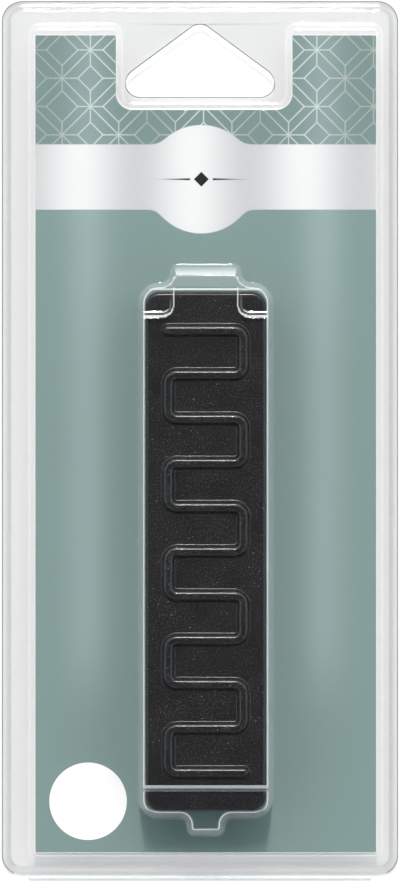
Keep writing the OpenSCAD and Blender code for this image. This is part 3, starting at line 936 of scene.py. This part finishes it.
def waxStick():
    finishes = [blackWax()]
    foot = stickBox[4]
    face = foot + stick["wall"]["height"]
    block = startFace("waxStick", stickBox[:4], foot, finishes)
    roundCorners(stick["cornerRound"], lambda middle: True)
    raiseWall(stick["wall"])
    openTop()
    piece = joined([block, fret(face, finishes)])
    fillLevel(piece, face)
    faceUp(piece)
    bpy.ops.object.mode_set(mode="EDIT")
    pick("EDGE", lambda middle: middle.z < foot + levelWithin)
    bpy.ops.mesh.edge_face_add()
    bpy.ops.mesh.bevel(offset=stick["backEdge"] * mm, segments=stick["backTurns"], affect="EDGES")
    bpy.ops.mesh.select_all(action="SELECT")
    bpy.ops.mesh.normals_make_consistent(inside=False)
    bpy.ops.object.mode_set(mode="OBJECT")
    smooth(piece, creases["wax"])
    print("wax stick:", len(piece.data.polygons), "faces")
    return piece


# Assembly

def settle(piece, body, node):
    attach(piece, body)
    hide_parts(node)


settle(frontShell(), "front", "front_shell")
settle(backShell(), "back", "back_shell")
settle(hingeBead(), "back", "living_hinge")
settle(printedCard(), "insert", "card")
settle(roundLabel(), "insert", "shade_label")
settle(waxStick(), "stick", "wax_stick")
print("pieces settled")


# Studio: pale floor, one soft key from above the picture, faint side strips, a bright room, camera on top

studio = {
    "distance": 6.0,
    "keySize": (0.45, 1.2), "keyHeight": 57, "keyPower": 240.0, "keyColour": "FFF4EC",
    "stripSize": (0.6, 2.2), "stripHeight": 35, "stripTurn": 90, "stripPower": 4.0,
    "stripColour": "FFFFFF",
    "room": 1.55, "roomColour": "EAF4F9", "roomLow": 0.3, "overhead": 0.02, "roomLean": (0.05, 0.7, 0),
    "lowFrom": 10, "lowFull": 28, "highFrom": 55, "highFull": 68,
    "floorSize": 40, "floorGap": 0.2, "floorPaint": "FCFCFC", "floorGlow": 0.4, "floorMirrored": 0.55,
    "cameraHeight": 4.0, "photoHeight": 200.2, "clearBounces": 32,
}


def addFloor():
    bpy.ops.object.select_all(action="DESELECT")
    bpy.ops.mesh.primitive_plane_add(size=studio["floorSize"], location=(0, 0, -studio["floorGap"] * mm))
    floor = bpy.context.object
    floor.name = "floor"
    material, tree = newFinish("paleFloor")
    rays = addNode(tree, "LightPath").node.outputs
    seen = addNode(tree, "Math", {
        0: rays["Is Camera Ray"], 1: rays["Is Transmission Ray"]}, operation="MAXIMUM")
    share = addNode(tree, "Math", {0: seen, 1: studio["floorGlow"]}, operation="MULTIPLY")
    paintWhite = addNode(tree, "BsdfDiffuse", {"Color": toLinear(studio["floorPaint"])})
    glow = addNode(tree, "Emission", {"Color": toLinear("FFFFFF"), "Strength": 1.0})
    both = addNode(tree, "MixShader", {0: share, 1: paintWhite, 2: glow})
    # the clear walls mirror the floor, so there it is dim and they stay darker than the flat sheet
    dim = addNode(tree, "Emission", {"Color": toLinear("FFFFFF"), "Strength": studio["floorMirrored"]})
    whole = addNode(tree, "MixShader", {0: rays["Is Glossy Ray"], 1: both, 2: dim})
    addNode(tree, "OutputMaterial", {"Surface": whole})
    floor.data.materials.append(material)


def addRoom():
    # light from all round at middle heights; darker near the floor and straight overhead
    world = bpy.data.worlds.new("room")
    bpy.context.scene.world = world
    world.use_nodes = True
    tree = world.node_tree
    tree.nodes.clear()
    way = addNode(tree, "TexCoord").node.outputs["Generated"]
    up = addNode(tree, "SeparateXYZ", {0: way}).node.outputs["Z"]
    height = lambda name: math.sin(math.radians(studio[name]))
    low = addNode(tree, "MapRange", {
        0: up, 1: height("lowFrom"), 2: height("lowFull"), 3: studio["roomLow"], 4: 1.0},
        interpolation_type="SMOOTHSTEP")
    high = addNode(tree, "MapRange", {
        0: up, 1: height("highFrom"), 2: height("highFull"), 3: studio["room"], 4: studio["overhead"]},
        interpolation_type="SMOOTHSTEP")
    band = addNode(tree, "Math", {0: low, 1: high}, operation="MULTIPLY")
    lean = addNode(tree, "VectorMath", {0: way, 1: studio["roomLean"]}, operation="DOT_PRODUCT")
    leaned = addNode(tree, "Math", {0: lean.node.outputs["Value"], 1: 1.0}, operation="ADD")
    light = addNode(tree, "Math", {0: band, 1: leaned}, operation="MULTIPLY")
    rays = addNode(tree, "LightPath").node.outputs
    strength = addNode(tree, "Mix", {
        "Factor": rays["Is Camera Ray"], "A": light, "B": 1.0}, data_type="FLOAT")
    colour = addNode(tree, "Mix", {
        "Factor": rays["Is Camera Ray"], "A": toLinear(studio["roomColour"]), "B": toLinear("FFFFFF")},
        data_type="RGBA")
    sky = addNode(tree, "Background", {"Color": colour, "Strength": strength})
    addNode(tree, "OutputWorld", {"Surface": sky})


def addLamp(name, size, height, turn, power, colour):
    # a softbox that faces the pack from a height and a turn in degrees; turn 0 is above the picture
    lamp = bpy.data.lights.new(name, "AREA")
    lamp.shape = "RECTANGLE"
    lamp.size, lamp.size_y = size
    lamp.energy = power
    lamp.color = toLinear(colour)[:3]
    holder = bpy.data.objects.new(name, lamp)
    bpy.context.scene.collection.objects.link(holder)
    tilt, turn = math.radians(height), math.radians(turn)
    away = Vector((-math.sin(turn) * math.cos(tilt), math.cos(turn) * math.cos(tilt), math.sin(tilt)))
    holder.location = away * studio["distance"]
    holder.rotation_euler = (tilt - math.pi / 2, 0, turn)
    holder.visible_camera = False


def addCamera():
    lens = bpy.data.cameras.new("camera")
    camera = bpy.data.objects.new("camera", lens)
    bpy.context.scene.collection.objects.link(camera)
    camera.location = (0, 0, studio["cameraHeight"])
    lens.lens = lens.sensor_width * studio["cameraHeight"] / (studio["photoHeight"] * mm)
    bpy.context.scene.camera = camera


addFloor()
addRoom()
addLamp("key", studio["keySize"], studio["keyHeight"], 0, studio["keyPower"], studio["keyColour"])
for name, side in (("leftStrip", 1), ("rightStrip", -1)):
    addLamp(name, studio["stripSize"], studio["stripHeight"], side * studio["stripTurn"],
            studio["stripPower"], studio["stripColour"])
addCamera()
bpy.context.scene.view_settings.view_transform = "Standard"
# a ray can pass both halves of the pack and come back through them
bpy.context.scene.cycles.transparent_max_bounces = studio["clearBounces"]
print("studio ready")
